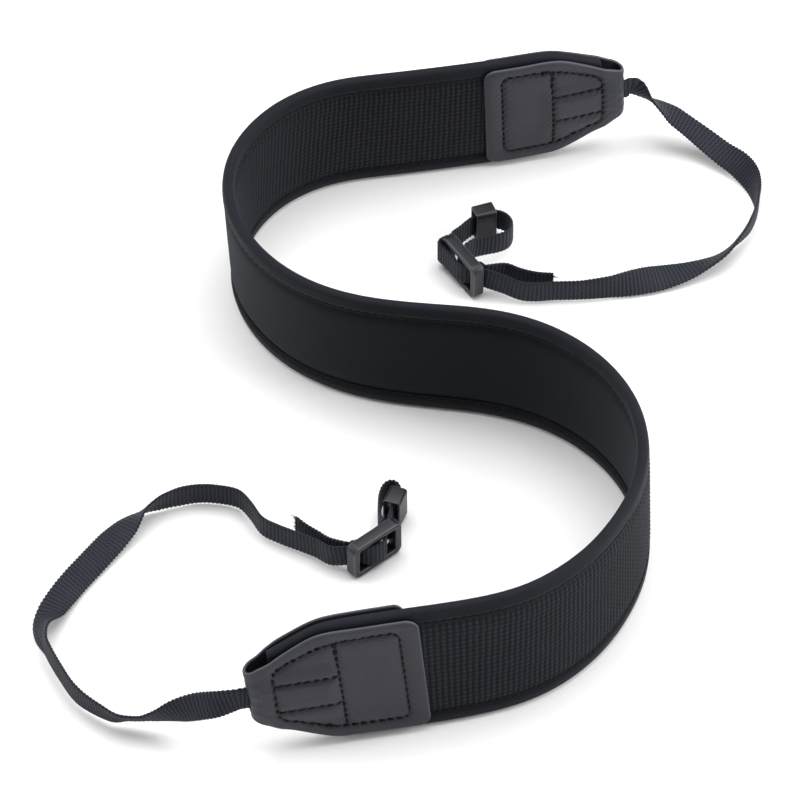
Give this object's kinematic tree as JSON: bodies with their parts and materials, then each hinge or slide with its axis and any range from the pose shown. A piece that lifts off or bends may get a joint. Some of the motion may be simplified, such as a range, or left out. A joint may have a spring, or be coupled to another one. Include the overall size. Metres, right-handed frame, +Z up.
{
  "type": "camera neck strap",
  "caption": "Wide bound neoprene neck pad standing on edge in an S, with leather end tabs and thin webbing threaded through sliders and keepers.",
  "frame": {"origin": "middle of the pad's own box, on the surface that the pad's lower edge stands on", "axes": "+Z up across the pad's width, +Y from the lower tab's run to the upper tab's run, +X to the open side of the upper bend"},
  "size_m": [0.2619, 0.3045, 0.0551],
  "materials": {
    "neoprene": "smooth matt knit laminated to neoprene foam",
    "mesh": "embossed grip mesh, matt",
    "binding": "woven edge tape",
    "leather": "fine grain, slightly glossy",
    "webbing": "ribbed woven tape",
    "plastic": "moulded, satin"
  },
  "bodies": {
    "root": {"pad_foam": "neoprene", "mesh_facing": "mesh", "binding_top": "binding", "binding_bottom": "binding", "leather_tab_upper": "leather", "leather_tab_lower": "leather", "webbing_upper": "webbing", "slider_upper": "plastic", "keeper_upper": "plastic", "webbing_lower": "webbing", "slider_lower": "plastic", "keeper_lower": "plastic"}
  },
  "joints": []
}
